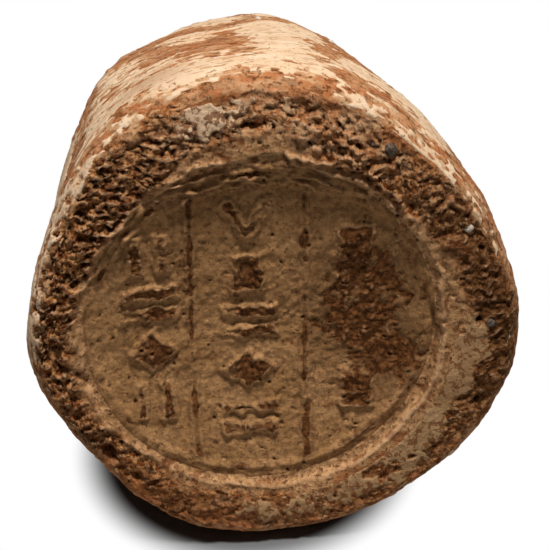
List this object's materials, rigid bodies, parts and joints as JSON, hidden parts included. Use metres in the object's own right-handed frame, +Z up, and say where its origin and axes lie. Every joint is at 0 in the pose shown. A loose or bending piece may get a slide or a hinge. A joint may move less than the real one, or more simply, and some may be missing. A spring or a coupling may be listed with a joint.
{
  "type": "stamped funerary cone",
  "caption": "Blunt tapered cone of coarse fired clay lying on a flattened side, with a round sunk stamp on its broad end, slip remains and stone grit.",
  "frame": {"origin": "middle of the footprint, on the surface that the cone lies on", "axes": "+Y from the stamped face to the tail, +Z up, +X to the right of someone who faces the stamp"},
  "size_m": [0.0878, 0.1336, 0.0889],
  "materials": {
    "coarse_clay": "rough, low-fired, pitted",
    "fine_clay": "matt, stamped, worn",
    "pale_slip": "matt, chalky, flaking",
    "brown_slip": "matt, thin wash",
    "limestone": "matt",
    "dark_stone": "matt"
  },
  "bodies": {
    "root": {"clay_core": "coarse_clay", "stamped_pad": "fine_clay", "shank_slip": "pale_slip", "rim_slip": "pale_slip", "field_slip": "brown_slip", "limestone_grit": "limestone", "dark_grit": "dark_stone"}
  },
  "joints": []
}
